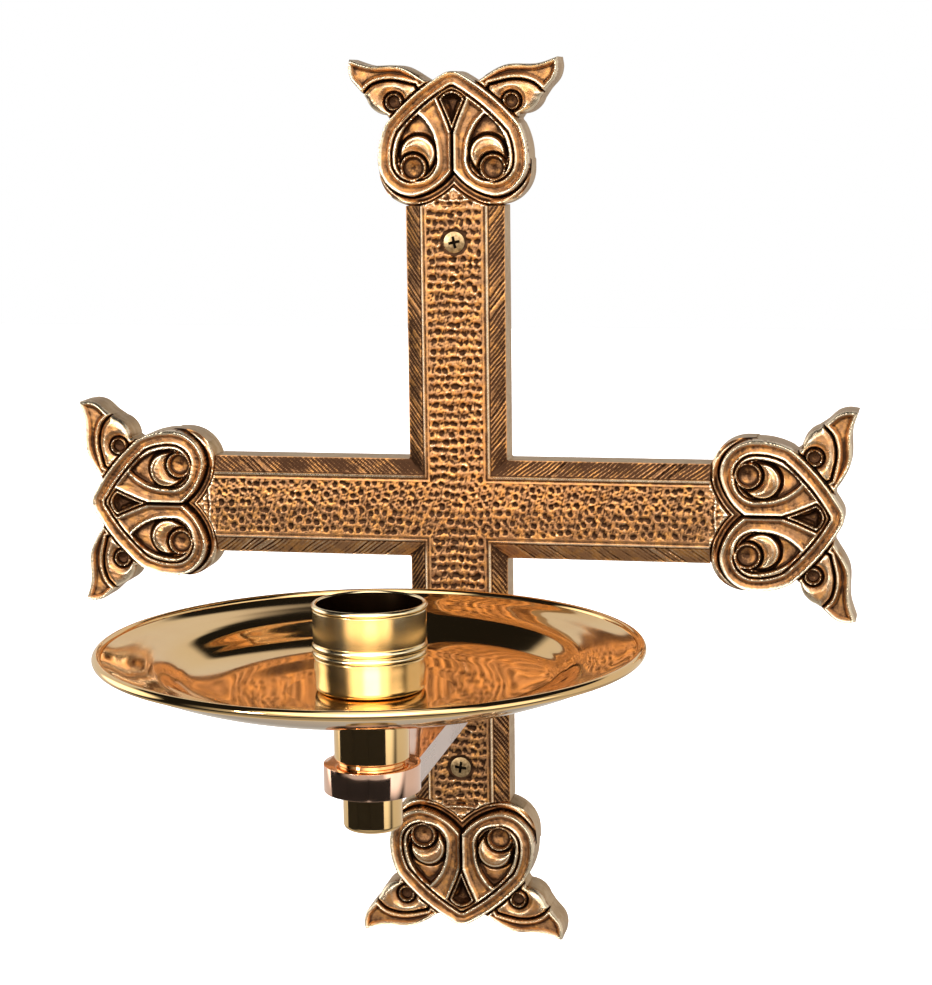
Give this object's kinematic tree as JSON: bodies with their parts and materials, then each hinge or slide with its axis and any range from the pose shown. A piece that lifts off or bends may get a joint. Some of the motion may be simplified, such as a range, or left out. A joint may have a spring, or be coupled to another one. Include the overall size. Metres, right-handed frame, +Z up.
{
  "type": "sanctuary lamp",
  "caption": "Wall-mounted cross with carved heart finials, whose bracket arm carries a turning drip pan and candle socket.",
  "frame": {"origin": "middle of the cross on the wall plane, which is the back face of the casting", "axes": "+Z up, +Y into the wall, +X to the right as seen from the room"},
  "size_m": [0.3354, 0.3095, 0.3774],
  "materials": {
    "antique_bronze": "cast, hammered and chiselled, dark patina in the hollows",
    "polished_bronze": "mirror polished and lacquered",
    "polished_arm": "polished, reddish",
    "brass_screws": "plain brass",
    "fixing_steel": "zinc plated"
  },
  "bodies": {
    "bracket": {"wall_cross": "antique_bronze", "finial_top": "antique_bronze", "finial_bottom": "antique_bronze", "finial_left": "antique_bronze", "finial_right": "antique_bronze", "finial_screws": "fixing_steel", "wall_screws": "brass_screws", "arm_bolts": "fixing_steel", "arm_bolt_washers": "fixing_steel", "bracket_arm": "polished_arm"},
    "washer": {"thrust_washer": "polished_bronze"},
    "holder": {"holder_stem": "polished_bronze", "drip_pan": "polished_bronze", "candle_socket": "polished_bronze", "clamp_screw": "brass_screws"}
  },
  "joints": [
    {"name": "lift_out", "type": "slide", "parent": "bracket", "child": "washer", "axis": [0, 0, 1], "range_m": [0, 0.04]},
    {"name": "swivel", "type": "hinge", "parent": "washer", "child": "holder", "pos_m": [0, -0.175, -0.065], "axis": [0, 0, 1], "continuous": true}
  ]
}
